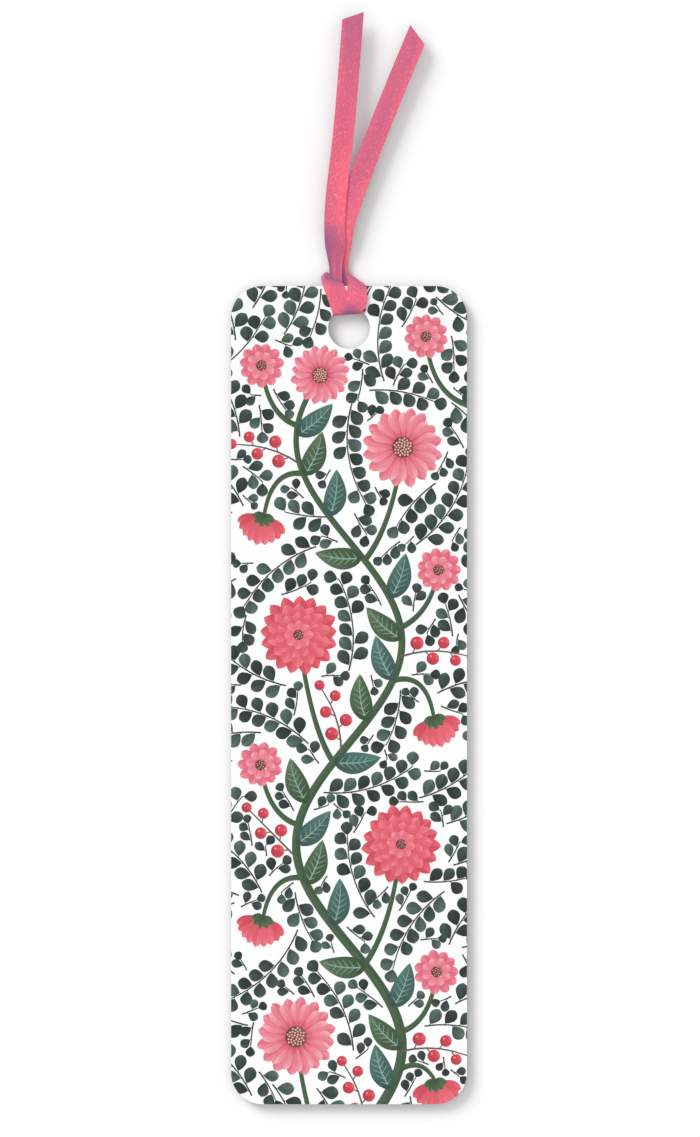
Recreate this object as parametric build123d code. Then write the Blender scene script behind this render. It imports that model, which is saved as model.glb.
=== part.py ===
from build123d import *
import os
from math import cos, radians, sin, sqrt, tan

# A card bookmark with a satin ribbon hitched through its punched hole.
# X runs across the card, Y along it towards the ribbon and Z out of the printed face.
# The origin is the card's centre. All sizes are in millimetres, angles in degrees.

# Card
card_width = 49.0
card_length = 170.0
corner_radius = 6.5
board_thickness = 0.45
face_thickness = 0.05
hole_diameter = 8.7
hole_from_top = 8.7

# Ribbon
ribbon_width = 4.35
ribbon_thickness = 0.2
lay_gap = 0.08

# Hitch: the two strands lie lapped in the upper part of the hole
hitch_shift = -0.2
hole_fill_share = 0.72
rim_gap = 0.05

# Hitch: each ear is a slanting fold over the top edge, given by its outer end, rise and length
left_ear_angle = 36.0
left_ear_x_share = -1.17
left_ear_lift_share = 0.265
left_ear_length_share = 0.41
right_ear_angle = 35.0
right_ear_x_share = 0.775
right_ear_length_share = 1.0

# Hitch: outline points as shares of the ribbon's width, from the middle of the card's top edge
left_crease_shares = (-0.84, 0.3)
left_eye_shares = (-0.23, 0.046)
right_eye_shares = (0.0, -0.18)
bight_dip_shares = (-0.2, -0.55)
left_exit_shares = (-0.862, -0.253)
right_exit_shares = (-0.575, -0.012)
gather_rise_share = 0.07

# Where the tails bend over the hitch
hinge_rise = 4.3
hinge_gap = 0.85

# Tails: the middle line of each, from the middle of the card's top edge, to the middle of its cut end
left_route = [(-2.87, 8.91), (-3.05, 13.07), (-2.64, 19.30), (-1.18, 30.94), (-0.08, 43.71), (0.83, 56.08)]
right_route = [(-1.56, 8.91), (-0.98, 13.28), (0.73, 18.47), (4.16, 27.51), (9.35, 40.60), (14.21, 52.17)]
left_rise_angle = 4.6
right_rise_angle = 3.2
left_cut_angle = 18.4
right_cut_angle = -54.0
splay_gap = 0.15
neck_end_share = 0.25
run_share = 0.45
overrun = 1.0

# Levels of the ribbon's layers, at their middles: the left strand lies next to the card
card_thickness = board_thickness + face_thickness
layer_step = ribbon_thickness + lay_gap
inner_level = card_thickness / 2 + lay_gap + ribbon_thickness / 2
outer_level = inner_level + layer_step
bight_level = -outer_level - layer_step

top_y = card_length / 2
hole_radius = hole_diameter / 2
hole_y = top_y - hole_from_top
hinge_y = top_y + hinge_rise


def from_top(shares):
    """A point given in shares of the ribbon's width, from the middle of the card's top edge."""
    return (shares[0] * ribbon_width, top_y + shares[1] * ribbon_width)


def lamina(outline, level):
    """A flat stretch of ribbon with this closed outline, its middle at this level."""
    sheet = make_face(outline)
    return Pos(0, 0, level) * extrude(sheet, ribbon_thickness / 2, both=True)


def half_tube(start, end, level_a, level_b):
    """The ribbon's bend from one level to another, about the line from start to end, on its left side."""
    along = Vector(*end) - Vector(*start)
    radius = abs(level_a - level_b) / 2
    turn = Plane(
        origin=(start[0], start[1], (level_a + level_b) / 2),
        x_dir=Vector(0, 0, 1).cross(along),
        z_dir=along,
    )
    ring = Circle(radius + ribbon_thickness / 2) - Circle(radius - ribbon_thickness / 2)
    reach = radius + ribbon_thickness
    outside = Rectangle(reach, 2 * reach, align=(Align.MIN, Align.CENTER))
    return extrude(turn * (ring & outside), along.length)


# Card: a printed face laminated on white board, both cut to one outline and punched together
def card_layer(thickness, bottom):
    outline = RectangleRounded(card_width, card_length, corner_radius)
    punched = outline - Pos(0, hole_y) * Circle(hole_radius)
    return Pos(0, 0, bottom) * extrude(punched, thickness)


board_bottom = -card_thickness / 2
card_board = card_layer(board_thickness, board_bottom)
printed_face = card_layer(face_thickness, board_bottom + board_thickness)

# Hitch: each strand turns through the hole about one line, low enough to pass its curved rim
hole_fill = hole_fill_share * hole_diameter
left_rim = (hitch_shift - hole_fill / 2, hitch_shift - hole_fill / 2 + ribbon_width)
right_rim = (hitch_shift + hole_fill / 2 - ribbon_width, hitch_shift + hole_fill / 2)
rim_reach = max(abs(left_rim[0]), abs(right_rim[1]))
inner_radius = inner_level - ribbon_thickness / 2
rim_slack = sqrt(inner_radius**2 - (card_thickness / 2) ** 2)
rim_y = hole_y + sqrt(hole_radius**2 - rim_reach**2) + rim_slack - rim_gap

# Hitch: the lines that the ears fold about
left_ear_length = left_ear_length_share * ribbon_width
left_ear_out = from_top((left_ear_x_share, left_ear_lift_share))
left_ear_in = (
    left_ear_out[0] + left_ear_length * cos(radians(left_ear_angle)),
    left_ear_out[1] + left_ear_length * sin(radians(left_ear_angle)),
)
right_fold_radius = (outer_level - bight_level - ribbon_thickness) / 2
right_fold_level = (outer_level + bight_level) / 2
right_fold_slack = sqrt(right_fold_radius**2 - (card_thickness / 2 - right_fold_level) ** 2)
right_ear_length = right_ear_length_share * ribbon_width
right_ear_out = (
    right_ear_x_share * ribbon_width,
    top_y + lay_gap - right_fold_slack * cos(radians(right_ear_angle)),
)
right_ear_in = (
    right_ear_out[0] - right_ear_length * cos(radians(right_ear_angle)),
    right_ear_out[1] + right_ear_length * sin(radians(right_ear_angle)),
)

# Hitch: the strands on the front, from the hole up to the ears
left_front = Polyline(
    (left_rim[0], rim_y),
    (left_rim[1], rim_y),
    from_top(left_eye_shares),
    from_top(left_crease_shares),
    left_ear_in,
    left_ear_out,
    close=True,
)
right_front = Polyline(
    (right_rim[0], rim_y),
    (right_rim[1], rim_y),
    right_ear_out,
    right_ear_in,
    from_top(right_eye_shares),
    close=True,
)

# Hitch: the bight behind the tails, from ear to ear
bight = Polyline(left_ear_out, left_ear_in, right_ear_in, right_ear_out)
bight += ThreePointArc(right_ear_out, from_top(bight_dip_shares), left_ear_out)


def back_strand(rim, exit_shares):
    """The strand behind the card, from the hole up to where its tail bends, gathered under the bight."""
    gather_y = top_y + gather_rise_share * ribbon_width
    exit_left = exit_shares[0] * ribbon_width
    exit_right = exit_shares[1] * ribbon_width
    end_y = hinge_y - hinge_gap
    return Polyline(
        (rim[0], rim_y),
        (rim[1], rim_y),
        (exit_right, gather_y),
        (exit_right, end_y),
        (exit_left, end_y),
        (exit_left, gather_y),
        close=True,
    )


ribbon_hitch = (
    lamina(left_front, inner_level)
    + lamina(right_front, outer_level)
    + half_tube(left_ear_out, left_ear_in, inner_level, bight_level)
    + half_tube(right_ear_in, right_ear_out, outer_level, bight_level)
    + lamina(bight, bight_level)
    + half_tube((left_rim[1], rim_y), (left_rim[0], rim_y), inner_level, -inner_level)
    + half_tube((right_rim[1], rim_y), (right_rim[0], rim_y), outer_level, -outer_level)
    + lamina(back_strand(left_rim, left_exit_shares), -inner_level)
    + lamina(back_strand(right_rim, right_exit_shares), -outer_level)
)


# Tails: each lies in its own plane, which rises from the bend, so that they never meet
def tail_plane(level, rise_angle):
    lean = radians(rise_angle)
    return Plane(origin=(0, hinge_y, level), x_dir=(1, 0, 0), z_dir=(0, -sin(lean), cos(lean)))


left_plane = tail_plane(-inner_level, left_rise_angle)
right_plane = tail_plane(-outer_level, right_rise_angle)


def on_plane(route):
    """The route's points measured from the line that the tails bend about."""
    return [Vector(x, y - hinge_rise) for x, y in route]


def out_of_cut(cut_line, heading):
    """The normal of the cut that points out of the tip."""
    normal = cut_line.cross(Vector(0, 0, 1))
    if normal.dot(heading) < 0:
        normal = normal * -1
    return normal


def tail(name, route, cut_angle):
    """A strip of ribbon along its route, round at the pivot and cut off slanting at the tip."""
    points = on_plane(route)
    tip = points[-1]
    heading = (tip - points[-2]).normalized()
    cut_line = Vector(cos(radians(cut_angle)), sin(radians(cut_angle)))
    spare = ribbon_width / 2 * abs(cut_line.dot(heading)) / abs(cut_line.cross(heading).Z)
    points[-1] = tip + heading * (spare + overrun)
    radii = []
    for before, corner, after in zip(points, points[1:], points[2:]):
        turn = (corner - before).get_angle(after - corner)
        shorter = min((corner - before).length, (after - corner).length)
        radii.append(run_share * shorter / tan(radians(turn) / 2))
    path = FilletPolyline(*points, radius=radii)
    print(name, "radii", [round(radius) for radius in radii])
    start = Plane(origin=path @ 0, x_dir=(0, 0, 1), z_dir=path % 0)
    strip = sweep(start * Rectangle(ribbon_thickness, ribbon_width), path=path)
    area = ribbon_width * ribbon_thickness
    print(name, "volume by section and length", round(strip.volume / (area * path.length), 4))
    cut = Plane(origin=tip, x_dir=cut_line, z_dir=out_of_cut(cut_line, heading))
    strip = split(strip, bisect_by=cut, keep=Keep.BOTTOM)
    return strip + Pos(points[0]) * Cylinder(ribbon_width / 2, ribbon_thickness)


def neck_strand(route, exit_shares):
    """The gathered strand from the bend to a tail's pivot, hollowed round the tail's end."""
    pivot = on_plane(route)[0]
    end_y = pivot.Y - neck_end_share * ribbon_width
    outline = Polyline(
        (exit_shares[0] * ribbon_width, 0),
        (exit_shares[1] * ribbon_width, 0),
        (pivot.X + ribbon_width / 2, end_y),
        (pivot.X - ribbon_width / 2, end_y),
        close=True,
    )
    clear = Pos(pivot) * Cylinder(ribbon_width / 2 + splay_gap, 2 * ribbon_thickness)
    return lamina(outline, 0) - clear


left_tail = left_plane * tail("left_tail", left_route, left_cut_angle)
right_tail = right_plane * tail("right_tail", right_route, right_cut_angle)
ribbon_neck = Compound(
    children=[
        left_plane * neck_strand(left_route, left_exit_shares),
        right_plane * neck_strand(right_route, right_exit_shares),
    ]
)

print("tails_lift at", (0, hinge_y, -(inner_level + outer_level) / 2))
for name, plane, route in (("left", left_plane, left_route), ("right", right_plane, right_route)):
    print(name, "splay at", plane.from_local_coords(on_plane(route)[0]), "about", plane.z_dir)

os.makedirs("parts", exist_ok=True)
nodes = {
    "card_board": card_board,
    "printed_face": printed_face,
    "ribbon_hitch": ribbon_hitch,
    "ribbon_neck": ribbon_neck,
    "left_tail": left_tail,
    "right_tail": right_tail,
}
for name, shape in nodes.items():
    export_step(shape, f"parts/{name}.step")
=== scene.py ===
import bisect
import cmath
import math
import random
import bmesh
import bpy
import numpy as np
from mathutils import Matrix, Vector
from mathutils.geometry import delaunay_2d_cdt


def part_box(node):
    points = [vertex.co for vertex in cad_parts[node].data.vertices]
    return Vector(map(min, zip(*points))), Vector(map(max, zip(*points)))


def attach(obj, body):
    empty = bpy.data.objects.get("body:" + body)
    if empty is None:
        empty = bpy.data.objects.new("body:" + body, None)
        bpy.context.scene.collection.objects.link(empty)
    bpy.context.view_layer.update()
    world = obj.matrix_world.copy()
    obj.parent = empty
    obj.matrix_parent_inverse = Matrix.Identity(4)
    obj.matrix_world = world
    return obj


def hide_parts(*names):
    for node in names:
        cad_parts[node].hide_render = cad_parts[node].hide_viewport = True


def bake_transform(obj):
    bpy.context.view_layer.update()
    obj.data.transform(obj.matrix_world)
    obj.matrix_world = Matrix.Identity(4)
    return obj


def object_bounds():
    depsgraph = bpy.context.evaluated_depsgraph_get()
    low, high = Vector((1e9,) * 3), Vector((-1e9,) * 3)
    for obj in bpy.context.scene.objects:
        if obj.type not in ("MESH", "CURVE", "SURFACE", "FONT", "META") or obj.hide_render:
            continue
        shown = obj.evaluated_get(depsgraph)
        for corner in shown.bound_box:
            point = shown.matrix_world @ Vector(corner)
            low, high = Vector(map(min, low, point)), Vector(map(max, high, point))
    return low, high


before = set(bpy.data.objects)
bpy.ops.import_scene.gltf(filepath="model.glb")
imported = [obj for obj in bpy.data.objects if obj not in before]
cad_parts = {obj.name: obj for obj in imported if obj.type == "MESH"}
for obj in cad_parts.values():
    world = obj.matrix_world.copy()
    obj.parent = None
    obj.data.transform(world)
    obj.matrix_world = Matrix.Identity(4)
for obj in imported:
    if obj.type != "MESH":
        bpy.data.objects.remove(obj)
cad_low, cad_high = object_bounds()

# Card board: the stiff core of the bookmark, white solid board cut and punched with the print.
# Its edges and back show matt uncoated fibres. The node keeps its shape and only gets that finish.
mm = 0.001
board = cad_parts["card_board"]


def linear(code):
    """An sRGB hex colour as linear red, green, blue and alpha."""
    parts = [int(code[i : i + 2], 16) / 255 for i in (1, 3, 5)]
    return [p / 12.92 if p <= 0.04045 else ((p + 0.055) / 1.055) ** 2.4 for p in parts] + [1.0]


def add(tree, kind, inputs, **settings):
    """Adds a node with its settings, and sets or links its inputs."""
    node = tree.nodes.new(kind)
    for name, value in settings.items():
        setattr(node, name, value)
    for name, value in inputs.items():
        if isinstance(value, bpy.types.NodeSocket):
            tree.links.new(value, node.inputs[name])
        else:
            node.inputs[name].default_value = value
    return node


def new_material(name):
    """A material with an empty tree."""
    material = bpy.data.materials.new(name)
    material.use_nodes = True
    material.node_tree.nodes.clear()
    return material, material.node_tree


def show(tree, colour, height, distance, **shader):
    """Ends a material in one principled shader with this colour and bump."""
    bump = add(tree, "ShaderNodeBump", {"Height": height, "Distance": distance, "Strength": 1.0})
    inputs = {"Base Color": colour, "Normal": bump.outputs[0]}
    inputs.update({name.replace("_", " "): value for name, value in shader.items()})
    surface = add(tree, "ShaderNodeBsdfPrincipled", inputs)
    add(tree, "ShaderNodeOutputMaterial", {"Surface": surface.outputs[0]})


# Uncoated board is matt, faintly mottled, with short fibres about a quarter of a millimetre apart.
fibre_spacing = 0.25
fibre_relief = 0.01
board_material, tree = new_material("uncoated white board")
place = add(tree, "ShaderNodeTexCoord", {}).outputs["Object"]
fibres = add(
    tree,
    "ShaderNodeTexNoise",
    {"Vector": place, "Scale": 1 / (fibre_spacing * mm), "Detail": 3.0, "Roughness": 0.6},
)
mottle = add(
    tree,
    "ShaderNodeMix",
    {0: fibres.outputs[0], 6: linear("#F2F1ED"), 7: linear("#FDFDFB")},
    data_type="RGBA",
)
show(tree, mottle.outputs[2], fibres.outputs[0], fibre_relief * mm, Roughness=0.85)
board.data.materials.clear()
board.data.materials.append(board_material)

# Printed face: a smooth coated sheet glued on the board, printed to its edges in gouache colours.
# The print is a planar map: every leaf and petal is a face of the sheet, so the inks lie flush.
# A winding stem carries round many-petalled flowers and berries, and small twigs fill the ground.
corner_radius = 6.5
hole_radius = 4.35
hole_from_top = 8.7
face_low, face_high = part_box("printed_face")
half_width = face_high.x / mm
half_length = face_high.y / mm
hole_centre = complex(0, half_length - hole_from_top)
corner_steps = 16
hole_steps = 72
print_seed = 11
draw = random.Random(print_seed)


def arc(centre, radius, start, sweep, steps):
    """Points on an arc, in degrees."""
    return [centre + cmath.rect(radius, math.radians(start + sweep * i / steps)) for i in range(steps)]


def card_outline():
    """The rounded rectangle of the card."""
    inner = complex(half_width - corner_radius, half_length - corner_radius)
    corners = [inner, -inner.conjugate(), -inner, inner.conjugate()]
    points = []
    for quarter, corner in enumerate(corners):
        points += arc(corner, corner_radius, 90 * quarter, 90, corner_steps)
        points.append(corner + corner_radius * 1j ** (quarter + 1))
    return points


# What is painted lies on two lists from bottom to top, each shape with its ink, outline and own frame.
# Round spots keep its place: small ones are filed by the square of a grid, wide ones in a list.
flowers = []
twigs = []
near_spots = {}
wide_spots = []
spot_pitch = 5.2


def paint(layer, ink, outline, root, heading, length, half, started=0.0):
    """Lays down one flat shape of ink, with the frame that its brush strokes follow."""
    layer.append((ink, outline, root, cmath.rect(1, heading), length, half, started))


def cell(point):
    """The square of the search grid that a point lies in."""
    return int(point.real // spot_pitch), int(point.imag // spot_pitch)


def occupy(point, radius):
    """Keeps a round spot clear of later leaves."""
    if radius > spot_pitch / 2:
        wide_spots.append((point, radius))
    else:
        near_spots.setdefault(cell(point), []).append((point, radius))


def is_free(point, radius):
    """Whether a round spot is clear of everything painted so far."""
    across, along = cell(point)
    for i in (across - 1, across, across + 1):
        for j in (along - 1, along, along + 1):
            for other, size in near_spots.get((i, j), ()):
                if abs(point - other) <= radius + size:
                    return False
    return all(abs(point - other) > radius + size for other, size in wide_spots)


def blade(layer, ink, root, heading, length, width, fullness, bluntness, bow=0.0, steps=9):
    """A leaf or petal along its heading: fullness puts its widest place, bluntness rounds its tip."""
    turn = cmath.rect(1, heading)
    shares = [i / steps for i in range(steps + 1)]
    halves = [width / 2 * abs(math.sin(math.pi * t**fullness)) ** bluntness for t in shares]
    spine = [length * complex(t, bow * math.sin(math.pi * t)) for t in shares]
    left = [root + turn * (s + 1j * h) for s, h in zip(spine, halves)]
    right = [root + turn * (s - 1j * h) for s, h in zip(spine, halves)]
    paint(layer, ink, right + left[-2:0:-1], root, heading, length, width / 2)


def stroke(layer, ink, points, start_width, end_width):
    """A stem along these points, as short lengths that each follow the stem's own direction."""
    sides = []
    for i, point in enumerate(points):
        before = points[max(i - 1, 0)]
        after = points[min(i + 1, len(points) - 1)]
        normal = 1j * (after - before) / abs(after - before)
        half = (start_width + (end_width - start_width) * i / (len(points) - 1)) / 2
        sides.append((point + normal * half, point - normal * half, half))
    done = 0.0
    for (a, b, half), (c, d, _), start, end in zip(sides, sides[1:], points, points[1:]):
        paint(layer, ink, [a, b, d, c], start, cmath.phase(end - start), 0, half, done)
        done += abs(end - start)


def bow_line(start, control, end, steps):
    """Points on a quadratic curve from start to end."""
    shares = [i / steps for i in range(steps + 1)]
    return [start * (1 - t) ** 2 + 2 * control * t * (1 - t) + end * t**2 for t in shares]


def dot(layer, ink, centre, radius, steps=16):
    """A round spot of ink."""
    paint(layer, ink, arc(centre, radius, 0, 360, steps), centre - radius, 0.0, 2 * radius, radius)


# Open flowers: their whorls of petals from the outside in, each with its ink, count, inner and outer reach,
# width and turn, then their petals' fullness and bluntness, and the size and grains of their eye.
# Reaches, widths and sizes are shares of the flower's radius, and turns are in radians.
dahlia = {
    "whorls": (
        ("deep coral", 17, 0.2, 1, 0.36, 0),
        ("coral", 14, 0.14, 0.8, 0.34, 0.2),
        ("coral", 11, 0.1, 0.58, 0.29, 0),
        ("pale coral", 8, 0.04, 0.37, 0.22, 0.3),
    ),
    "petal": (1.5, 0.75),
    "eye": (0.13, 9),
}
daisy = {
    "ground": ("deep coral", 0.4),
    "whorls": (("rose pink", 16, 0.2, 1, 0.3, 0), ("pale pink", 16, 0.2, 0.88, 0.24, 0.2)),
    "petal": (1.9, 0.6),
    "eye": (0.27, 34),
}
pompon = {
    "whorls": (("rose pink", 11, 0.15, 1, 0.46, 0), ("pale pink", 8, 0.1, 0.66, 0.36, 0.3)),
    "petal": (1.7, 0.6),
    "eye": (0.24, 12),
}
petal_steps = 13
petal_sway = 0.03
petal_bow = 0.02
petal_lengths = (0.95, 1.04)
eye_steps = 24
grain_reach = 0.86
grain_size = 0.09
grain_steps = 8
golden_share = 3 - math.sqrt(5)


def open_flower(kind, centre, radius, turn):
    """A flower seen from above, each petal a little different in length and lean, with a grainy eye."""
    occupy(centre, radius)
    if "ground" in kind:
        ink, share = kind["ground"]
        dot(flowers, ink, centre, share * radius, eye_steps)
    for ink, count, inner, outer, width, offset in kind["whorls"]:
        for i in range(count):
            aim = turn + offset + 2 * math.pi * i / count + draw.uniform(-petal_sway, petal_sway)
            long = (outer * radius - inner * radius) * draw.uniform(*petal_lengths)
            root = centre + cmath.rect(inner * radius, aim)
            bow = draw.uniform(-petal_bow, petal_bow)
            blade(flowers, ink, root, aim, long, width * radius, *kind["petal"], bow, petal_steps)
    share, grains = kind["eye"]
    eye = share * radius
    dot(flowers, "seed brown", centre, eye, eye_steps)
    for i in range(grains):
        turn = i * math.pi * golden_share
        place = centre + cmath.rect(grain_reach * eye * math.sqrt((i + 0.5) / grains), turn)
        dot(flowers, "grain pink", place, grain_size * eye, grain_steps)


# Hanging flowers: the leans of their petals and of the leaves of their cup, from the outside in, and
# sizes as shares of the flower's radius. A shape is a fullness and a bluntness.
fan_leans = (-62, 62, -47, 47, -31, 31, -16, 16, 0)
fan_width = 0.34
fan_shape = (1.7, 0.65)
fan_taper = 0.12
fan_middle = 0.6
fan_room = 0.75
outer_lean = 40
cup_leans = (-70, 70, -35, 35, 0)
cup_length = 0.42
cup_width = 0.24
cup_shape = (0.8, 0.8)


def cone_flower(foot, aim, radius):
    """A daisy seen from the side: a fan of petals that hangs from a domed green cup."""
    occupy(foot + cmath.rect(fan_middle * radius, aim), fan_room * radius)
    for lean in fan_leans:
        heading = aim + math.radians(lean)
        ink = "deep coral" if abs(lean) > outer_lean else "coral"
        length = radius * (1 - fan_taper * abs(lean) / max(fan_leans))
        blade(flowers, ink, foot, heading, length, fan_width * radius, *fan_shape, steps=12)
    for lean in cup_leans:
        heading = aim + math.radians(lean)
        blade(flowers, "leaf green", foot, heading, cup_length * radius, cup_width * radius, *cup_shape)


# Berries: a spray's leans, curls, count and widths, then a berry's size, stalk and room, and its glint
spray_leans = (0.6, 0.8, 1.0, 1.2)
spray_curls = (-0.12, 0.0, 0.12)
spray_widths = (0.45, 0.3)
line_room = 0.5
berry_count = 5
berry_spacing = 2.6
berry_radius = 1.4
berry_taper = 0.08
berry_stalk = 0.9
berry_stalk_width = 0.28
berry_lean = 0.9
berry_room = 0.3
berry_keep = 0.2
glint_place = complex(-0.35, 0.35)
glint_size = 0.22


def berry_line(root, aim, curl):
    """A spray's stalk and the places of its berries, with how many of them find room."""
    points = [root]
    places = []
    side = 1
    for i in range(berry_count):
        aim += curl
        points.append(points[-1] + cmath.rect(berry_spacing, aim))
        size = berry_radius - berry_taper * i
        lean = 0.0 if i == berry_count - 1 else side * berry_lean
        places.append((points[-1], points[-1] + cmath.rect(size + berry_stalk, aim + lean), size))
        side = -side
    room = sum(is_free(centre, size + berry_room) for _, centre, size in places)
    clear = all(is_free(point, line_room) for point in points[1:])
    return points, places, room if clear else 0


def berry_spray(height):
    """A curved stalk of round berries, turned to where they all find room, if there is such a place."""
    aims = [stem_aim(height) + side * lean for side in (1, -1) for lean in spray_leans]
    tries = [berry_line(on_stem(height), aim, curl) for aim in aims for curl in spray_curls]
    points, places, room = max(tries, key=lambda found: found[2])
    if room < berry_count:
        return
    stroke(flowers, "twig brown", points, *spray_widths)
    for point in points:
        occupy(point, line_room)
    for point, centre, size in places:
        stroke(flowers, "twig brown", [point, centre], berry_stalk_width, berry_stalk_width)
        dot(flowers, "berry red", centre, size, 20)
        dot(flowers, "pale coral", centre + size * glint_place, glint_size * size, 10)
        occupy(centre, size + berry_keep)


# Broad leaves: the side veins' lengths and the spots that keep a leaf's place, as shares of its size
broad_length = 10.0
broad_width = 4.6
broad_shape = (0.75, 0.8)
broad_bow = 0.06
rib_joints = 8
rib_widths = (0.3, 0.12)
vein_widths = (0.16, 0.08)
vein_lengths = (0.26, 0.36, 0.38, 0.34, 0.26)
vein_reach = 1.15
vein_lean = 0.85
broad_spots = ((0.15, 0.35), (0.35, 0.52), (0.6, 0.48), (0.8, 0.35), (0.95, 0.2))


def broad_leaf(ink, root, aim, bow):
    """An oval leaf with a pale rib and side veins."""
    blade(flowers, ink, root, aim, broad_length, broad_width, *broad_shape, bow, 14)
    turn = cmath.rect(1, aim)
    rib = []
    for i in range(1, rib_joints):
        bend = bow * math.sin(math.pi * i / rib_joints)
        rib.append(root + turn * broad_length * complex(i / rib_joints, bend))
    stroke(flowers, "vein", rib, *rib_widths)
    for point, share in zip(rib, vein_lengths):
        for side in (1, -1):
            end = point + cmath.rect(share * broad_width * vein_reach, aim + side * vein_lean)
            stroke(flowers, "vein", [point, end], *vein_widths)
    for share, wide in broad_spots:
        bend = bow * math.sin(math.pi * share)
        occupy(root + turn * broad_length * complex(share, bend), wide * broad_width)


# The main stem winds up the card and carries the flowers in its bends.
stem_swing = 11.0
stem_wave = 84.0
stem_shift = 10.0
stem_foot = -92.0
stem_top = 64.0
stem_steps = 110
stem_widths = (2.2, 1.1)
stem_room = 1.1
side_stem_widths = (1.25, 0.8)
side_stem_steps = 26


def on_stem(y):
    """The stem's middle at this height."""
    return complex(stem_swing * math.sin(2 * math.pi * (y + stem_shift) / stem_wave), y)


def stem_aim(y):
    """The stem's direction at this height."""
    nudge = 0.1
    return cmath.phase(on_stem(y + nudge) - on_stem(y - nudge))


def side_stem(start, control, end):
    """A thinner stem, from the main one or the card's edge."""
    points = bow_line(start, control, end, side_stem_steps)
    stroke(flowers, "stem green", points, *side_stem_widths)
    for point in points:
        occupy(point, line_room)


stem_heights = [stem_foot + (stem_top - stem_foot) * i / stem_steps for i in range(stem_steps + 1)]
for height in stem_heights:
    occupy(on_stem(height), stem_room)

# Big flowers sit in the bends, small ones outside them, and some hang. Each is given by the height at
# which its side stem leaves the main one, the point that the stem bows towards, and its own place.
big_radius = 8.3
small_radius = 4.7
top_radius = 6.2
hanging_radius = 6.6
hanging_reach = 4.0
hanging_room = 5.0
bend_flowers = [
    (dahlia, -14, complex(-8, -7), complex(-10.5, 12.5)),
    (daisy, 28, complex(9, 35), complex(11.2, 51.5)),
    (dahlia, -56, complex(9, -48), complex(10.8, -31)),
    (daisy, -98, complex(-9, -90), complex(-11, -71)),
]
outer_flowers = [
    (14, complex(17, 17), complex(18.6, 26)),
    (-27, complex(-17, -25), complex(-18.4, -14.5)),
    (-70, complex(17, -68), complex(18.2, -57.5)),
    (56, complex(-17, 58), complex(-18.2, 68.5)),
]
hanging_flowers = [
    (3, complex(16, 5), complex(17.6, -4.5), -75),
    (-38, complex(-16, -37), complex(-17.8, -46), -105),
    (46, complex(-16, 47), complex(-17.6, 37.5), -105),
    (-78, complex(15, -75), complex(17.8, -80), -80),
]
top_flower = on_stem(stem_top) + complex(1.5, 2.5)
top_turn = 0.2
corner_flower = complex(16.0, 74.5)
corner_stem = (complex(half_width + 1, 60), complex(17, 62), corner_flower)
corner_turn = 0.4
side_stems = [place[1:] for place in bend_flowers] + outer_flowers + [place[:3] for place in hanging_flowers]
for height, control, end in side_stems:
    side_stem(on_stem(height), control, end)
side_stem(*corner_stem)
stroke(flowers, "stem green", [on_stem(height) for height in stem_heights], *stem_widths)
for *_, centre in bend_flowers:
    occupy(centre, big_radius)
for *_, centre in outer_flowers:
    occupy(centre, small_radius)
for _, _, foot, aim in hanging_flowers:
    occupy(foot + cmath.rect(hanging_reach, math.radians(aim)), hanging_room)

# Broad leaves sit on either side of the stem, teal and green by turns, where the flowers leave room.
broad_count = 17
broad_spacing = 8.5
lowest_broad = -82
broad_lean = 0.8
broad_room = ((0.35, 0.9), (0.6, 2.0), (0.95, 0.7))
for i in range(broad_count):
    height = lowest_broad + broad_spacing * i
    root = on_stem(height)
    for side in (1, -1) if i % 2 else (-1, 1):
        aim = stem_aim(height) + side * broad_lean
        if all(is_free(root + cmath.rect(share * broad_length, aim), room) for share, room in broad_room):
            broad_leaf(("teal", "leaf green")[i % 2], root, aim, broad_bow * side)
            break

for kind, _, _, centre in bend_flowers:
    open_flower(kind, centre, big_radius, draw.uniform(0, 1))
for *_, centre in outer_flowers:
    open_flower(pompon, centre, small_radius, draw.uniform(0, 1))
for _, _, foot, aim in hanging_flowers:
    cone_flower(foot, math.radians(aim), hanging_radius)
open_flower(daisy, top_flower, top_radius, top_turn)
open_flower(pompon, corner_flower, small_radius, corner_turn)
berry_heights = (-90, -74, -58, -46, -34, -24, -12, 0, 8, 18, 30, 36, 48, 58)
for height in berry_heights:
    berry_spray(height)

# The paper in the hitch's eye stays white, and no twig starts inside the hole.
hitch_eye = complex(-0.4, half_length - 0.6)
eye_room = 1.6
hole_room = hole_radius - 0.6
occupy(hitch_eye, eye_room)
occupy(hole_centre, hole_room)

# Twigs of small round dark leaves, set by turns on either side, grow into what is left, longest first.
leaf_length = 4.0
leaf_width = 2.6
leaf_stalk = 0.35
leaf_lean = 0.85
leaf_taper = 0.2
leaf_shape = (1.3, 0.62)
leaf_widths = (0.94, 1.06)
leaf_inks = ("slate leaf", "slate leaf", "dark leaf", "grey leaf")
end_leaf = 0.8
end_spot = (0.5, 0.9)
twig_step = 1.55
twig_foot = 1.0
twig_room = 0.4
twig_keep = 0.35
twig_widths = (0.34, 0.24)
stalk_widths = (0.26, 0.2)
leaf_spots = ((0.35, 0.5), (0.62, 0.98), (0.86, 0.7))


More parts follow.
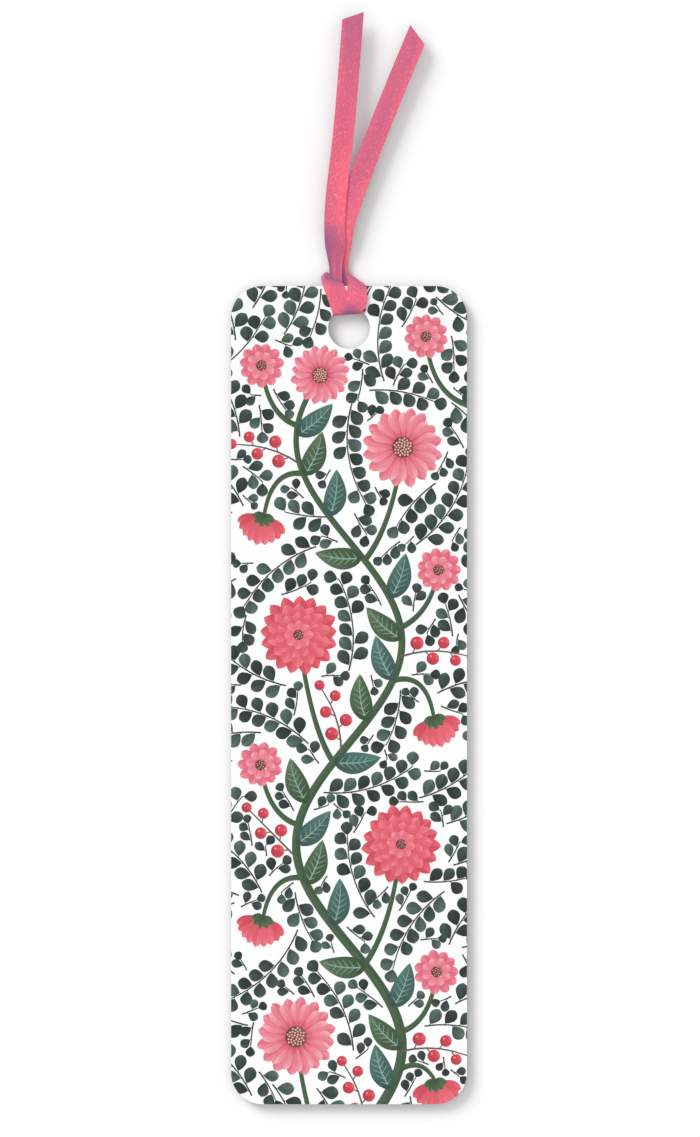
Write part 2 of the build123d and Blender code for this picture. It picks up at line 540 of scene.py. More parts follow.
def grow(root, heading, curl, joints, scale):
    """A twig's line and the leaves on it that find room."""
    line = [root]
    leaves = []
    for i in range(joints):
        heading += curl
        point = line[-1] + cmath.rect(scale * twig_step, heading)
        halfway = (line[-1] + point) / 2
        if not is_free(point, twig_room) or i and not is_free(halfway, twig_room):
            break
        line.append(point)
        size = scale * leaf_length * (1 - leaf_taper * i / joints)
        aim = heading + leaf_lean * (-1) ** i
        if all(is_free(point + cmath.rect(share * size, aim), wide * scale) for share, wide in leaf_spots):
            leaves.append((point, aim, size))
    joined = [point for point, _, _ in leaves]
    while len(line) > 1 and line[-1] not in joined:
        line.pop()
    if len(line) > 1:
        end = line[-1] + cmath.rect(scale * twig_step, heading)
        tip = end + cmath.rect(end_spot[0] * scale * leaf_length, heading)
        if is_free(end, twig_room) and is_free(tip, end_spot[1] * scale):
            line.append(end)
            leaves.append((end, heading, end_leaf * scale * leaf_length))
    return line, leaves


def plant(line, leaves, scale):
    """Paints a twig and keeps its place."""
    stroke(twigs, "twig slate", line, *twig_widths)
    for point in line:
        occupy(point, twig_keep)
    for point, aim, size in leaves:
        ink = draw.choice(leaf_inks)
        width = scale * leaf_width * draw.uniform(*leaf_widths)
        base = point + cmath.rect(leaf_stalk, aim)
        stroke(twigs, "twig slate", [point, base], *stalk_widths)
        blade(twigs, ink, base, aim, size - leaf_stalk, width, *leaf_shape, steps=12)
        for share, wide in leaf_spots:
            occupy(point + cmath.rect(share * size, aim), wide * scale)


def cut_short(line, leaves):
    """A loose twig starts just below its first leaf."""
    joined = [point for point, _, _ in leaves]
    while len(line) > 2 and line[1] not in joined:
        line = line[1:]
    foot = line[1] + (line[0] - line[1]) * twig_foot / abs(line[0] - line[1])
    return [foot] + line[1:]


# The first twigs grow from the main stem, and loose ones at jittered places all over the card. Their
# sizes give their joints, the fewest leaves that they may have, and their scale.
stem_twig_lean = 0.95
stem_twig_curl = 0.04
stem_twig_joints = 9
stem_twig_leaves = 5
stem_twig_heights = range(-88, 64, 5)
for height in stem_twig_heights:
    for side in (1, -1):
        heading = stem_aim(height) + side * stem_twig_lean
        line, leaves = grow(on_stem(height), heading, -side * stem_twig_curl, stem_twig_joints, 1.0)
        if len(leaves) >= stem_twig_leaves:
            plant(line, leaves, 1.0)
field_pitch = 2.2
field_jitter = 1
field_columns = 12
field_rows = 40
field = []
for i in range(-field_columns, field_columns + 1):
    for j in range(-field_rows, field_rows + 1):
        across = i * field_pitch + draw.uniform(-field_jitter, field_jitter)
        field.append(complex(across, j * field_pitch + draw.uniform(-field_jitter, field_jitter)))
draw.shuffle(field)
aim_count = 18
first_aim = 0.2
twig_aims = [2 * math.pi * k / aim_count + first_aim for k in range(aim_count)]
twig_curls = (-0.06, 0.06)
twig_sizes = (
    (13, 12, 1),
    (11, 10, 1),
    (9, 8, 1),
    (8, 6, 1),
    (6, 5, 0.95),
    (5, 4, 0.9),
    (4, 4, 0.85),
    (4, 3, 0.8),
    (3, 3, 0.72),
    (3, 2, 0.72),
    (2, 2, 0.66),
)
for joints, fewest, scale in twig_sizes:
    for root in field:
        if not is_free(root, twig_room):
            continue
        tries = [grow(root, aim, curl, joints, scale) for aim in twig_aims for curl in twig_curls]
        line, leaves = max(tries, key=lambda found: len(found[1]))
        if len(leaves) >= fewest:
            plant(cut_short(line, leaves), leaves, scale)

# The map is the card's outline cut by every shape, and each of its faces takes the topmost ink.
# Each shape reads its brush strokes from another stretch of the pattern.
weld_distance = 0.0001
stroke_shift = 3
motifs = twigs + flowers
inks = sorted({motif[0] for motif in motifs})
outlines = [card_outline(), arc(hole_centre, hole_radius, 0, 360, hole_steps)]
outlines += [motif[1] for motif in motifs]
corners = []
loops = []
for outline in outlines:
    loops.append(list(range(len(corners), len(corners) + len(outline))))
    corners += [Vector((point.real, point.imag)) for point in outline]
spots, _, triangles, _, _, covers = delaunay_2d_cdt(corners, [], loops, 0, weld_distance, True)
bm = bmesh.new()
brush = bm.loops.layers.uv.new("brush")
shape = bm.loops.layers.uv.new("shape")
points = [bm.verts.new((spot.x * mm, spot.y * mm, face_high.z)) for spot in spots]
for triangle, cover in zip(triangles, covers):
    if 0 not in cover or 1 in cover:
        continue
    face = bm.faces.new([points[i] for i in triangle])
    top = max(cover) - 2
    if top < 0:
        continue
    ink, _, root, turn, length, half, started = motifs[top]
    face.material_index = 1 + inks.index(ink)
    for loop in face.loops:
        place = (complex(loop.vert.co.x, loop.vert.co.y) / mm - root) / turn
        loop[brush].uv = (place.real + started, place.imag + stroke_shift * top)
        loop[shape].uv = (place.real / length if length else 0.5, place.imag / half)
bmesh.ops.delete(bm, geom=[v for v in bm.verts if not v.link_faces], context="VERTS")
edge = [e for e in bm.edges if e.is_boundary]
lower = bmesh.ops.extrude_edge_only(bm, edges=edge)["geom"]
rim = [e for e in lower if isinstance(e, bmesh.types.BMEdge)]
for face in [f for f in lower if isinstance(f, bmesh.types.BMFace)]:
    face.material_index = 0
low_points = [v for v in lower if isinstance(v, bmesh.types.BMVert)]
bmesh.ops.translate(bm, verts=low_points, vec=(0, 0, face_low.z - face_high.z))
bmesh.ops.triangle_fill(bm, edges=rim, use_beauty=True, normal=(0, 0, -1))
bmesh.ops.recalc_face_normals(bm, faces=bm.faces)
mesh = bpy.data.meshes.new("printed_sheet")
bm.to_mesh(mesh)
bm.free()
printed_sheet = bpy.data.objects.new("printed_sheet", mesh)
bpy.context.scene.collection.objects.link(printed_sheet)
print("print", len(motifs), "shapes", len(mesh.polygons), "faces")

# Coated paper is smooth and faintly glossy, with a very fine tooth.
tooth = 0.2
paper_relief = 0.002
coated = {"Roughness": 0.55, "Specular_IOR_Level": 0.25}
paper, tree = new_material("coated white paper")
place = add(tree, "ShaderNodeTexCoord", {}).outputs["Object"]
grain = add(tree, "ShaderNodeTexNoise", {"Vector": place, "Scale": 1 / (tooth * mm), "Detail": 2.0})
tint = add(
    tree,
    "ShaderNodeMix",
    {0: grain.outputs[0], 6: linear("#FBFCFC"), 7: linear("#FFFFFF")},
    data_type="RGBA",
)
show(tree, tint.outputs[2], grain.outputs[0], paper_relief * mm, **coated)
mesh.materials.append(paper)

# Each ink is a gouache: streaked along the brush, darker at the root and on one side of the shape.
# Its colours are those of the root, the body, the tip and the shaded side.
stroke_width = 0.35
stroke_length = 2.5
streak_wander = 0.7
root_span = (0.0, 0.5)
tip_span = (0.55, 1.05)
shade_span = (0.05, -0.25)
shade_depth = 0.6
gouache = {
    "deep coral": ("#B93B48", "#D9525F", "#E76C78", "#C64553"),
    "coral": ("#C94653", "#E66472", "#F08490", "#D65664"),
    "pale coral": ("#D9565F", "#EC7A86", "#F59AA2", "#E06A76"),
    "rose pink": ("#CC4F63", "#E57083", "#F096A3", "#D86176"),
    "pale pink": ("#D5586E", "#EE8A99", "#F8B4BD", "#E17688"),
    "berry red": ("#AF3242", "#D14855", "#E56873", "#BC3A49"),
    "seed brown": ("#5B3A3C", "#7A4A48", "#8E5A55", "#6A4242"),
    "grain pink": ("#F3B9A4", "#F3B9A4", "#F9D2C2", "#F3B9A4"),
    "stem green": ("#39502F", "#486146", "#5A735B", "#384E38"),
    "leaf green": ("#35492F", "#4D6649", "#667F62", "#3C5338"),
    "teal": ("#324C47", "#4A6E67", "#5C837A", "#3A5851"),
    "vein": ("#7C9C90", "#8FB0A3", "#A5C2B6", "#7C9C90"),
    "twig brown": ("#5A4C49", "#6E605D", "#7C6E6A", "#5A4C49"),
    "twig slate": ("#2B3633", "#333F3B", "#3B4844", "#2B3633"),
    "slate leaf": ("#28332F", "#394844", "#4A5D57", "#2C3834"),
    "dark leaf": ("#202927", "#2A3633", "#384844", "#232D2A"),
    "grey leaf": ("#374740", "#4F635A", "#62786F", "#3B4C45"),
}
for ink in inks:
    material, tree = new_material(ink + " gouache")
    strokes_at = add(tree, "ShaderNodeUVMap", {}, uv_map="brush").outputs[0]
    shape_at = add(tree, "ShaderNodeUVMap", {}, uv_map="shape").outputs[0]
    along = add(tree, "ShaderNodeSeparateXYZ", {0: shape_at})
    scaled = add(
        tree,
        "ShaderNodeVectorMath",
        {0: strokes_at, 1: (1 / stroke_length, 1 / stroke_width, 1)},
        operation="MULTIPLY",
    )
    streaks = add(tree, "ShaderNodeTexNoise", {"Vector": scaled.outputs[0], "Scale": 1.0, "Detail": 3.0})
    root, body, tip, shade = [linear(code) for code in gouache[ink]]
    wander = add(
        tree,
        "ShaderNodeMath",
        {0: streaks.outputs[0], 1: streak_wander, 2: -streak_wander / 2},
        operation="MULTIPLY_ADD",
    )
    reach = add(tree, "ShaderNodeMath", {0: along.outputs[0], 1: wander.outputs[0]}, operation="ADD")
    lean = add(tree, "ShaderNodeMath", {0: along.outputs[1], 1: wander.outputs[0]}, operation="ADD")
    from_root, to_tip, one_side = [
        add(
            tree,
            "ShaderNodeMapRange",
            {0: place.outputs[0], 1: span[0], 2: span[1]},
            interpolation_type="SMOOTHSTEP",
        ).outputs[0]
        for place, span in ((reach, root_span), (reach, tip_span), (lean, shade_span))
    ]
    lower = add(tree, "ShaderNodeMix", {0: from_root, 6: root, 7: body}, data_type="RGBA")
    upper = add(tree, "ShaderNodeMix", {0: to_tip, 6: lower.outputs[2], 7: tip}, data_type="RGBA")
    half_shade = add(tree, "ShaderNodeMath", {0: one_side, 1: shade_depth}, operation="MULTIPLY")
    colour = add(
        tree, "ShaderNodeMix", {0: half_shade.outputs[0], 6: upper.outputs[2], 7: shade}, data_type="RGBA"
    )
    show(tree, colour.outputs[2], streaks.outputs[0], paper_relief * mm, **coated)
    mesh.materials.append(material)

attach(printed_sheet, "card")
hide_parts("printed_face")

# Ribbon: one cut length of coral satin, doubled, with both ends put through the hole and its loop.
# It is made as one strip in rows of five points across. Rows are in millimetres from the middle of
# the card's top edge, each from the strip's outer edge to its inner one.
ribbon_width = 4.35
ribbon_thickness = 0.2
lay_gap = 0.08
across_shares = (0, 0.25, 0.5, 0.75, 1)
top_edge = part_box("card_board")[1].y / mm
inner_level = face_high.z / mm + lay_gap + ribbon_thickness / 2
outer_level = inner_level + ribbon_thickness + lay_gap
bight_level = cad_low.z / mm + ribbon_thickness / 2


def row(outer, inner, crown=0.0):
    """Five points across the strip, with its middle raised by the crown."""
    outer, inner = Vector(outer), Vector(inner)
    return [outer.lerp(inner, s) + Vector((0, 0, crown * math.sin(math.pi * s))) for s in across_shares]


def spline_points(name, points):
    """Points along the smooth line that these control points give, in metres in the card's frame."""
    line = bpy.data.curves.new(name, "CURVE")
    line.dimensions = "3D"
    line.resolution_u = 24
    spline = line.splines.new("NURBS")
    spline.points.add(len(points) - 1)
    for point, (x, y, z) in zip(spline.points, points):
        point.co = (x * mm, (top_edge + y) * mm, z * mm, 1)
    spline.order_u = 3
    spline.use_endpoint_u = True
    holder = bpy.data.objects.new(name, line)
    mesh = bpy.data.meshes.new_from_object(holder)
    found = [v.co.copy() for v in mesh.vertices]
    bpy.data.meshes.remove(mesh)
    bpy.data.objects.remove(holder)
    bpy.data.curves.remove(line)
    return found


def ease(value, low, high):
    """A smooth step from 0 at low to 1 at high."""
    t = min(max((value - low) / (high - low), 0), 1)
    return t * t * (3 - 2 * t)


# Tails: their middle lines run from behind the card to the cut ends. They spring up off the hitch and
# then stay about a millimetre above the card's middle. Each has a list of painted shade from its left
# edge to its right one, at heights past the card: 1 is full painted shade, as in a deep crease or in
# the knot's shadow, and 0 is in full light.
left_route = [
    (-2.73, 0.3, -0.43),
    (-2.73, 2.4, -0.43),
    (-2.75, 4.4, -0.42),
    (-2.84, 6.6, -0.1),
    (-2.87, 8.91, 0.65),
    (-3.05, 13.07, 1.02),
    (-2.64, 19.30, 1.15),
    (-1.18, 30.94, 1.2),
    (-0.08, 43.71, 1.4),
    (0.83, 56.08, 1.25),
]
right_route = [
    (-1.58, 0.3, -0.71),
    (-1.58, 2.4, -0.71),
    (-1.60, 4.4, -0.71),
    (-1.74, 6.6, -0.4),
    (-1.62, 8.91, 0.42),
    (-0.98, 13.28, 0.79),
    (0.73, 18.47, 0.88),
    (4.16, 27.51, 0.75),
    (9.35, 40.60, 0.8),
    (14.21, 52.17, 0.75),
]
left_painted_shade = [
    (0, (0.95, 0.85, 0.7, 0.75, 0.8)),
    (3, (0.9, 0.85, 0.6, 0.65, 0.7)),
    (6, (0.85, 0.8, 0.55, 0.5, 0.4)),
    (9, (0.95, 0.9, 0.75, 0.45, 0.25)),
    (11.5, (0.85, 0.8, 0.6, 0.3, 0.15)),
    (14, (0.3, 0.2, 0.1, 0.05, 0)),
    (25, (0, 0, 0, 0, 0)),
    (33, (0.15, 0.2, 0.25, 0.25, 0.2)),
    (42, (0.15, 0.3, 0.5, 0.45, 0.3)),
    (50, (0.2, 0.55, 0.6, 0.55, 0.45)),
    (56, (0.4, 0.65, 0.65, 0.65, 0.65)),
]
right_painted_shade = [
    (0, (1, 1, 1, 1, 1)),
    (1.8, (1, 1, 1, 1, 0.9)),
    (3.4, (1, 1, 0.9, 0.65, 0.45)),
    (5.2, (0.6, 0.5, 0.4, 0.25, 0.15)),
    (9, (0.2, 0.15, 0.1, 0.05, 0)),
    (14, (0.05, 0.1, 0.1, 0.05, 0)),
    (20, (0.2, 0.35, 0.35, 0.2, 0.05)),
    (35, (0.3, 0.5, 0.55, 0.4, 0.1)),
    (54, (0.4, 0.45, 0.5, 0.4, 0.25)),
]
left_cut_angle = 18.4
right_cut_angle = -54.0
row_spacing = 0.9
cut_run = 7.0

# Each tail is gathered in pleats up to where it spreads, and then rolls a little to and fro along its
# length. Its twist is given by an amount, a wave length and a shift.
gather_half = 1.33
gather_end = 3.4
spread_end = 9.4
pleat_height = 0.17
pleat_pitch = 1.45
pleat_span = (0.2, 2.4)
twist_span = (14, 22)
left_twist = (0.05, 9.0, 0.5)
right_twist = (-0.03, 10.0, 0.0)


def run_of(name, route, painted_shade_table, cut_angle, twist):
    """The rows, middle line and painted shade of one end of the strip, from behind the card to its cut end.
    """
    line = spline_points(name, route)
    lengths = [0.0]
    for a, b in zip(line, line[1:]):
        lengths.append(lengths[-1] + (b - a).length / mm)
    count = round(lengths[-1] / row_spacing)
    cut = Vector((math.cos(math.radians(cut_angle)), math.sin(math.radians(cut_angle)), 0))
    amount, wave, shift = twist
    heights, shares = zip(*painted_shade_table)
    rows = []
    middle = []
    painted_shade_rows = []
    for i in range(count + 1):
        station = lengths[-1] * i / count
        k = min(max(bisect.bisect_left(lengths, station), 1), len(line) - 1)
        share = (station - lengths[k - 1]) / (lengths[k] - lengths[k - 1])
        centre = line[k - 1].lerp(line[k], share) / mm - Vector((0, top_edge, 0))
        heading = (line[k] - line[k - 1]).normalized()
        side = heading.cross(Vector((0, 0, 1))).normalized()
        spread = ease(centre.y, gather_end, spread_end)
        half = gather_half + (ribbon_width / 2 - gather_half) * spread
        pleat = pleat_height * (1 - spread) * ease(centre.y, *pleat_span)
        shear = cut.dot(heading) / cut.dot(side) * ease(station, lengths[-1] - cut_run, lengths[-1])
        turn = amount * math.sin(centre.y / wave + shift) * ease(centre.y, *twist_span)
        points = []
        for s in across_shares:
            reach = (2 * s - 1) * half
            lift = pleat * math.cos(2 * math.pi * (centre.x + reach) / pleat_pitch) + turn * reach
            points.append(centre + side * reach + heading * shear * reach + Vector((0, 0, lift)))
        rows.append(points)
        middle.append(centre)
        # Painted shade of this row, from the strip's left edge to its right one.
        painted_shade_rows.append([np.interp(centre.y, heights, column) for column in zip(*shares)])
    return rows, middle, painted_shade_rows


left_rows, left_middle, left_painted_shade_rows = run_of("left_line", left_route, left_painted_shade, left_cut_angle, left_twist)
right_rows, right_middle, right_painted_shade_rows = run_of(
    "right_line", right_route, right_painted_shade, right_cut_angle, right_twist
)

# Hitch: each half goes down behind the card, through the hole, up the front and over the top edge,
# and the bight joins them behind. The left half rolls over and is pinched into a small ear, the right
# one lies folded flat. Spots of painted shade, in the ear's crease, along the upper edges of the roll
# and the right flap, over the left strand and where the strands bend into the hole, are given by
# place, radius and depth.
bottom_edge = -5.93
bottom_slope = 0.064
left_rim = (-3.43, 1.02)
right_rim = (3.0, -1.42)
right_ear = (Vector((3.65, -1.1)), Vector((-0.5, 2.1)))
ear_drift = 2.8
cage_swell = 1.1
fold_turns = (-90, -45, 0, 45, 90)
painted_shade_spots = [
    ((-4.4, 1.4, 0.1), 1.0, 1.0),
    ((-5.2, 1.9, 0.0), 1.1, 0.9),
    ((-4.9, 2.8, 0.0), 0.9, 0.4),
    ((-3.0, 1.1, 0.2), 0.9, 0.9),
    ((-1.7, 0.9, 0.2), 0.9, 0.9),
    ((0.0, 2.0, 0.2), 1.1, 0.5),
    ((1.2, 1.0, 0.3), 1.1, 0.5),
    ((2.3, 0.3, 0.3), 1.1, 0.5),
    ((3.3, -0.3, 0.3), 0.9, 0.4),
    ((-3.2, -2.2, 0.6), 2.0, 0.25),
    ((-2.8, -5.9, 0.3), 0.8, 0.5),
    ((-0.8, -5.6, 0.6), 1.0, 0.7),
    ((0.4, -5.1, 0.7), 1.2, 1.0),
    ((1.7, -5.2, 0.6), 1.0, 0.6),
]


def through_hole(rim, level, turns):
    """Rows round the hole's rim at these angles, from behind it to its front."""
    rows = []
    for turn in turns:
        rise = level + ribbon_thickness / 2 - cage_swell * level * math.cos(math.radians(turn))
        z = cage_swell * level * math.sin(math.radians(turn))
        rows.append(row(*[(x, bottom_edge + bottom_slope * x + rise, z) for x in rim]))
    return rows


def over_edge(ear, fronts, behind, turns):
    """Rows of a bend about the line between an ear's two ends, from the back level to the front ones.

    The outer edge drifts along that line as it turns, so its corner is round.
    """
    along = (ear[1] - ear[0]).normalized()
    out = Vector((along.y, -along.x))
    rows = []
    for turn in turns:
        ends = []
        drift = ear_drift * (1 - math.sin(math.radians(turn))) / 2
        for end, front in zip((ear[0] + along * drift, ear[1]), fronts):
            radius = cage_swell * (front - behind) / 2
            shift = out * radius * math.cos(math.radians(turn))
            ends.append((*(end + shift), (front + behind) / 2 + radius * math.sin(math.radians(turn))))
        rows.append(row(*ends))
    return rows


# The hitch's rows in their order along the strip, from the left end to the right one
z_in, z_out, z_bight = inner_level, outer_level, bight_level
left_back = [
    row((-3.72, -0.6, -z_in), (-1.0, -0.6, -z_in)),
    row((-3.62, -2.4, -z_in), (-0.2, -2.4, -z_in)),
    row((-3.42, -4.4, -z_in), (0.8, -4.4, -z_in)),
]
left_front = [
    row((-3.78, -4.6, z_in), (0.82, -4.6, z_in), 0.04),
    row((-4.25, -3.2, z_in), (0.15, -3.2, z_in), 0.1),
    row((-4.92, -1.3, z_in), (-0.5, -1.4, z_in), 0.16),
]
left_roll = [
    ((-5.4, 0.0, 0.42), (-4.2, -0.1, 0.62), (-3.1, -0.2, 0.66), (-2.0, -0.3, 0.6), (-0.9, -0.5, 0.45)),
    ((-5.72, 0.95, 0.32), (-4.7, 0.8, 0.6), (-3.6, 0.65, 0.62), (-2.4, 0.55, 0.56), (-1.1, 0.2, 0.42)),
    ((-5.85, 1.7, 0.05), (-5.1, 2.1, 0.42), (-4.3, 1.4, 0.05), (-2.9, 1.1, 0.26), (-1.3, 0.65, 0.2)),
    ((-5.7, 2.1, -0.25), (-5.15, 2.8, 0.05), (-4.45, 2.8, 0.0), (-3.7, 1.2, -0.08), (-2.2, 0.65, -0.1)),
    ((-5.5, 1.9, -0.65), (-5.0, 2.85, -0.5), (-4.4, 3.1, -0.42), (-4.15, 2.5, -0.38), (-4.15, 1.4, -0.35)),
    ((-5.2, 1.1, -0.9), (-4.75, 2.0, -0.9), (-4.4, 2.4, -0.88), (-4.2, 2.4, -0.85), (-4.05, 2.2, -0.82)),
]
bight = [
    row((-4.6, 0.1, z_bight - 0.1), (-3.5, 2.3, z_bight), -0.2),
    row((-3.1, -1.5, z_bight - 0.2), (-2.7, 2.2, z_bight - 0.1), -0.35),
    row((-0.9, -2.35, z_bight - 0.25), (-1.9, 2.1, z_bight - 0.1), -0.4),
    row((1.4, -1.85, z_bight - 0.2), (-1.2, 2.0, z_bight - 0.1), -0.35),
    row((2.6, -1.1, z_bight - 0.1), (-0.7, 1.9, z_bight), -0.2),
]
right_front = [
    row((3.8, -1.8, z_out), (-0.22, 0.2, z_out - 0.15), 0.08),
    row((3.82, -2.8, z_out), (-0.38, -1.3, z_out - 0.08), 0.1),
    row((3.65, -3.8, z_out), (-0.85, -3.0, z_out), 0.06),
    row((3.35, -4.6, z_out), (-1.2, -4.4, z_out), 0.03),
]
right_back = [
    row((2.75, -4.4, -z_out), (-1.5, -4.4, -z_out)),
    row((1.4, -2.4, -z_out), (-1.95, -2.4, -z_out)),
    row((0.2, -0.6, -z_out), (-2.4, -0.6, -z_out)),
]
hitch_rows = (
    left_back
    + through_hole(left_rim, inner_level, fold_turns)
    + left_front
    + [[Vector(point) for point in points] for points in left_roll]
    + bight
    + over_edge(right_ear, (outer_level, inner_level), bight_level, fold_turns[1:])
    + right_front
    + through_hole(right_rim, outer_level, fold_turns[::-1])
    + right_back
)


def painted_shade_at(point):
    """How much painted shade the satin gets at a point of the hitch."""
    return min(sum(d * math.exp(-(((point - Vector(p)).length / r) ** 2)) for p, r, d in painted_shade_spots), 1)


# Woven satin is smooth and silky: long warp floats run along it and catch the light as fine flecks,
# which are painted into its colour as pale highlights. Real floats are about 0.1 mm wide. They are
# drawn twice as wide, so that they show. Painted shade: where the ribbon turns away from the light or
# lies in shadow, in creases, pleats and at the knot, its colour is mixed towards purple and the painted
# highlights fade.
float_width = 0.18
float_length = 0.95
float_slant = 24.0
float_relief = 0.03
glint_span = (0.54, 0.7)
tone_length = 16.0
tone_width = 10 / 3
tone_span = (0.35, 0.65)
selvedge_width = 0.22
selvedge_blur = 0.1
selvedge_depth = 0.12
satin, tree = new_material("coral satin")
weave_at = add(tree, "ShaderNodeUVMap", {}, uv_map="weave").outputs[0]
slanted_at = add(
    tree,
    "ShaderNodeVectorRotate",
    {"Vector": weave_at, "Angle": math.radians(float_slant)},
    rotation_type="Z_AXIS",
)
floats_at = add(
    tree,
    "ShaderNodeVectorMath",
    {0: slanted_at.outputs[0], 1: (1 / float_length, 1 / float_width, 1)},
    operation="MULTIPLY",
)
floats = add(tree, "ShaderNodeTexNoise", {"Vector": floats_at.outputs[0], "Scale": 1.0, "Detail": 2.0})
tones_at = add(
    tree,
    "ShaderNodeVectorMath",
    {0: weave_at, 1: (1 / tone_length, 1 / tone_width, 1)},
    operation="MULTIPLY",
)
tones = add(tree, "ShaderNodeTexNoise", {"Vector": tones_at.outputs[0], "Scale": 1.0, "Detail": 1.0})
tone = add(
    tree,
    "ShaderNodeMapRange",
    {0: tones.outputs[0], 1: tone_span[0], 2: tone_span[1]},
    interpolation_type="SMOOTHSTEP",
)
ground = add(
    tree,
    "ShaderNodeMix",
    {0: tone.outputs[0], 6: linear("#EA617F"), 7: linear("#FA667F")},
    data_type="RGBA",
)
# Painted shade: each point of the ribbon carries how much shade is painted on it, and the colour goes
# towards purple by that much.
painted_shade = add(tree, "ShaderNodeAttribute", {}, attribute_name="painted_shade")
shaded = add(
    tree,
    "ShaderNodeMix",
    {0: painted_shade.outputs["Fac"], 6: ground.outputs[2], 7: linear("#A45C85")},
    data_type="RGBA",
)
lit = add(tree, "ShaderNodeMath", {0: 1.0, 1: painted_shade.outputs["Fac"]}, operation="SUBTRACT")
# Painted highlight: pale flecks where the floats would catch the light, dimmed by the painted shade.
glint = add(tree, "ShaderNodeMapRange", {0: floats.outputs[0], 1: glint_span[0], 2: glint_span[1]})
shine = add(tree, "ShaderNodeMath", {0: glint.outputs[0], 1: lit.outputs[0]}, operation="MULTIPLY")
with_painted_glints = add(
    tree,
    "ShaderNodeMix",
    {0: shine.outputs[0], 6: shaded.outputs[2], 7: linear("#FF9AA8")},
    data_type="RGBA",
)
weave_xy = add(tree, "ShaderNodeSeparateXYZ", {0: weave_at})
from_middle = add(tree, "ShaderNodeMath", {0: weave_xy.outputs[1]}, operation="ABSOLUTE")
edge_from = ribbon_width / 2 - selvedge_width
selvedge = add(
    tree, "ShaderNodeMapRange", {0: from_middle.outputs[0], 1: edge_from, 2: edge_from + selvedge_blur}
)
edge_share = add(tree, "ShaderNodeMath", {0: selvedge.outputs[0], 1: selvedge_depth}, operation="MULTIPLY")
edged = add(
    tree,
    "ShaderNodeMix",
    {0: edge_share.outputs[0], 6: with_painted_glints.outputs[2], 7: linear("#B9486C")},
    data_type="RGBA",
)
show(
    tree,
    edged.outputs[2],
    floats.outputs[0],
    float_relief * mm,
    Roughness=0.42,
    Specular_IOR_Level=0.4,
    Sheen_Weight=0.12,
    Sheen_Roughness=0.4,
    Sheen_Tint=linear("#FFB3C0"),
)


smooth_levels = 3


def strip(name, rows, painted_shade_rows, started):
    """A length of ribbon through these rows, smoothed and given its thickness, and where its weave ends."""
    bm = bmesh.new()
    last = len(rows) - 1
    across = len(across_shares) - 1
    bmesh.ops.create_grid(bm, x_segments=across, y_segments=last, size=1)
    weave = bm.loops.layers.uv.new("weave")
    # Each point keeps its painted shade for the satin's colour.
    painted_shade = bm.verts.layers.float.new("painted_shade")
    middles = [points[across // 2] for points in rows]
    along = [started]
    for a, b in zip(middles, middles[1:]):
        along.append(along[-1] + (b - a).length)
    place = {v: (round((v.co.x + 1) / 2 * across), round((v.co.y + 1) / 2 * last)) for v in bm.verts}
    for face in bm.faces:
        face.smooth = True
        for loop in face.loops:
            column, line = place[loop.vert]
            loop[weave].uv = (along[line], (across_shares[column] - 0.5) * ribbon_width)
    for edge in bm.edges:
        edge.smooth = not edge.is_boundary
    for v, (column, line) in place.items():
        point = rows[line][column]
        v.co = (point.x * mm, (top_edge + point.y) * mm, point.z * mm)
        v[painted_shade] = painted_shade_rows[line][column]
    mesh = bpy.data.meshes.new(name)
    bm.to_mesh(mesh)
    bm.free()
    piece = bpy.data.objects.new(name, mesh)
    piece.data.materials.append(satin)
    bpy.context.scene.collection.objects.link(piece)
    smooth = piece.modifiers.new("smooth", "SUBSURF")
    smooth.levels = smooth_levels
    smooth.render_levels = smooth_levels
    smooth.boundary_smooth = "PRESERVE_CORNERS"
    cloth = piece.modifiers.new("cloth", "SOLIDIFY")
    cloth.thickness = ribbon_thickness * mm
    cloth.offset = 0
    return piece, along[-1]


# Neck and tails: the two ends leave the hitch gathered, spread out to their full width and end in
# slanting cuts.
splice = 5.6


left_join = max(i for i, point in enumerate(left_middle) if point.y <= splice)
right_join = max(i for i, point in enumerate(right_middle) if point.y <= splice)
left_start = left_rows[left_join::-1]
right_start = [points[::-1] for points in right_rows[: right_join + 1]]
# The hitch's rows take their painted shade from the tails' lists and from the spots.
hitch, hitch_end = strip(
    "hitch",
    left_start + hitch_rows + right_start,
    left_painted_shade_rows[left_join::-1]
    + [[painted_shade_at(point) for point in points] for points in hitch_rows]
    + [painted_shade_rows[::-1] for painted_shade_rows in right_painted_shade_rows[: right_join + 1]],
    0.0,
)
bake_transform(hitch)
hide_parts("ribbon_hitch", "ribbon_neck")

# Each tail's rows carry their painted shade.
tails = [
    ("left", left_rows[left_join:][::-1], left_painted_shade_rows[left_join:][::-1], left_middle[left_join:]),
    (
        "right",
        [points[::-1] for points in right_rows[right_join:]],
        [painted_shade_rows[::-1] for painted_shade_rows in right_painted_shade_rows[right_join:]],
        right_middle[right_join:],
    ),
]
for side, rows, painted_shade_rows, middle in tails:
    length = sum((b - a).length for a, b in zip(middle, middle[1:]))
    tail, _ = strip(side + "_tail_ribbon", rows, painted_shade_rows, -length if side == "left" else hitch_end)
    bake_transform(tail)
    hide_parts(side + "_tail")
    print(side, "tail", round(length, 1), "mm")

# Floor: a plain white sheet that the bookmark lies on. It is white to the camera and in reflections,
# and it keeps the object's shadow. To bounced light it is grey, so that it sends little of the ribbon's
# colour back into the shadows.
floor_size = 4.0
floor_white = 1.02
floor_bounce = 0.3
floor_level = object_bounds()[0].z


def plainly_seen(tree):
    """Whether a ray comes from the camera, a reflection or glass, and not from bounced light."""
    path = add(tree, "ShaderNodeLightPath", {}).outputs
    seen = path["Is Camera Ray"]
    for ray in ("Is Glossy Ray", "Is Transmission Ray"):
        seen = add(tree, "ShaderNodeMath", {0: seen, 1: path[ray]}, operation="MAXIMUM").outputs[0]
    return seen


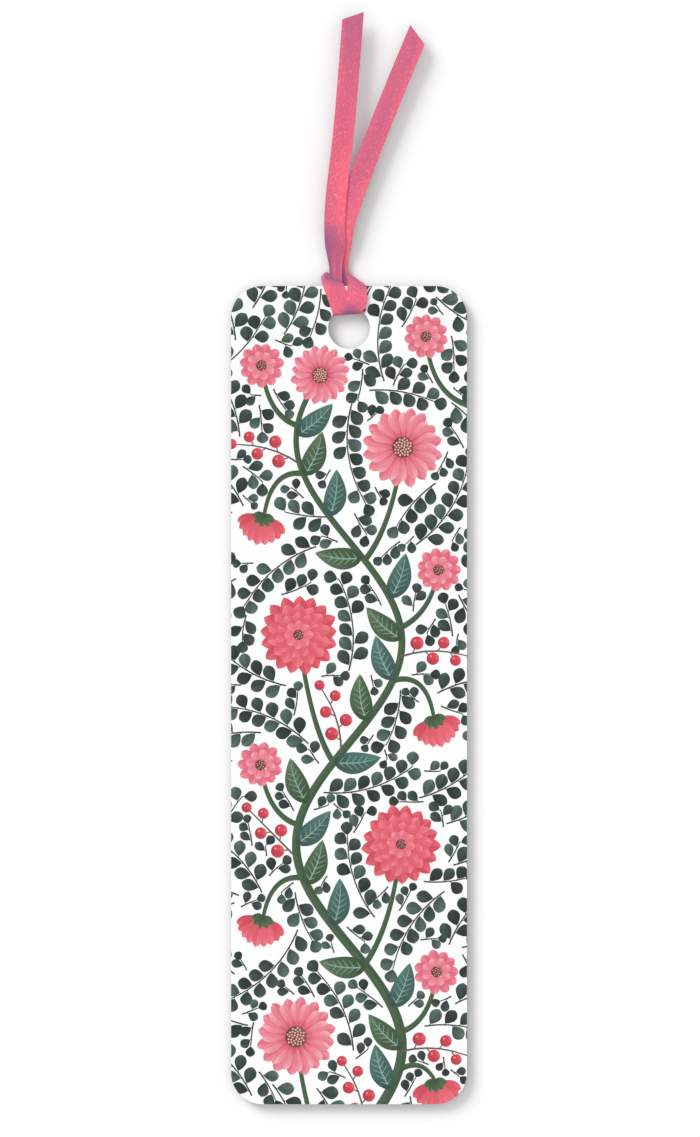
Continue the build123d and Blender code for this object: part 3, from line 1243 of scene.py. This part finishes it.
white, tree = new_material("white studio sheet")
tone = add(
    tree,
    "ShaderNodeMix",
    {0: plainly_seen(tree), 6: [floor_bounce] * 3 + [1], 7: [floor_white] * 3 + [1]},
    data_type="RGBA",
)
matt = add(tree, "ShaderNodeBsdfDiffuse", {"Color": tone.outputs[2]})
add(tree, "ShaderNodeOutputMaterial", {"Surface": matt.outputs[0]})
bm = bmesh.new()
bmesh.ops.create_grid(bm, x_segments=1, y_segments=1, size=floor_size / 2)
bmesh.ops.translate(bm, verts=bm.verts, vec=(0, 0, floor_level))
mesh = bpy.data.meshes.new("floor")
bm.to_mesh(mesh)
bm.free()
floor = bpy.data.objects.new("floor", mesh)
floor.data.materials.append(white)
bpy.context.scene.collection.objects.link(floor)

# Light: one large soft lamp from the upper left and an even white surround.
# Together they light a flat sheet so that a colour shows about as it is written.
key_share = 0.32
key_height = 30.0
key_bearing = 135.0
key_softness = 30.0
sky = bpy.data.worlds.new("white surround")
sky.use_nodes = True
tree = sky.node_tree
strength = add(tree, "ShaderNodeMapRange", {0: plainly_seen(tree), 3: 1 - key_share, 4: 1.0})
background = tree.nodes["Background"]
background.inputs["Color"].default_value = (1, 1, 1, 1)
tree.links.new(strength.outputs[0], background.inputs["Strength"])
bpy.context.scene.world = sky
lamp = bpy.data.lights.new("key", "SUN")
lamp.angle = math.radians(key_softness)
lamp.energy = math.pi * key_share / math.sin(math.radians(key_height))
key = bpy.data.objects.new("key", lamp)
bearing = math.radians(key_bearing)
rise = math.radians(key_height)
towards = Vector((math.cos(bearing) * math.cos(rise), math.sin(bearing) * math.cos(rise), math.sin(rise)))
key.rotation_euler = towards.to_track_quat("Z", "Y").to_euler()
bpy.context.scene.collection.objects.link(key)

# Camera: straight above the card with the ribbon upwards, far enough to flatten the view.
# The picture is 700 by 1137, and one millimetre of the card is 4.813 of its pixels.
picture_height = 1137
pixels_per_mm = 4.813
view_middle = (0.2, 26.3)
lens = 200.0
lens_data = bpy.data.cameras.new("camera")
lens_data.lens = lens
camera = bpy.data.objects.new("camera", lens_data)
view_height = picture_height / pixels_per_mm * mm
distance = view_height / 2 / (lens_data.sensor_width / 2 / lens)
camera.location = (view_middle[0] * mm, view_middle[1] * mm, face_high.z + distance)
bpy.context.scene.collection.objects.link(camera)
bpy.context.scene.camera = camera
bpy.context.scene.view_settings.view_transform = "Standard"
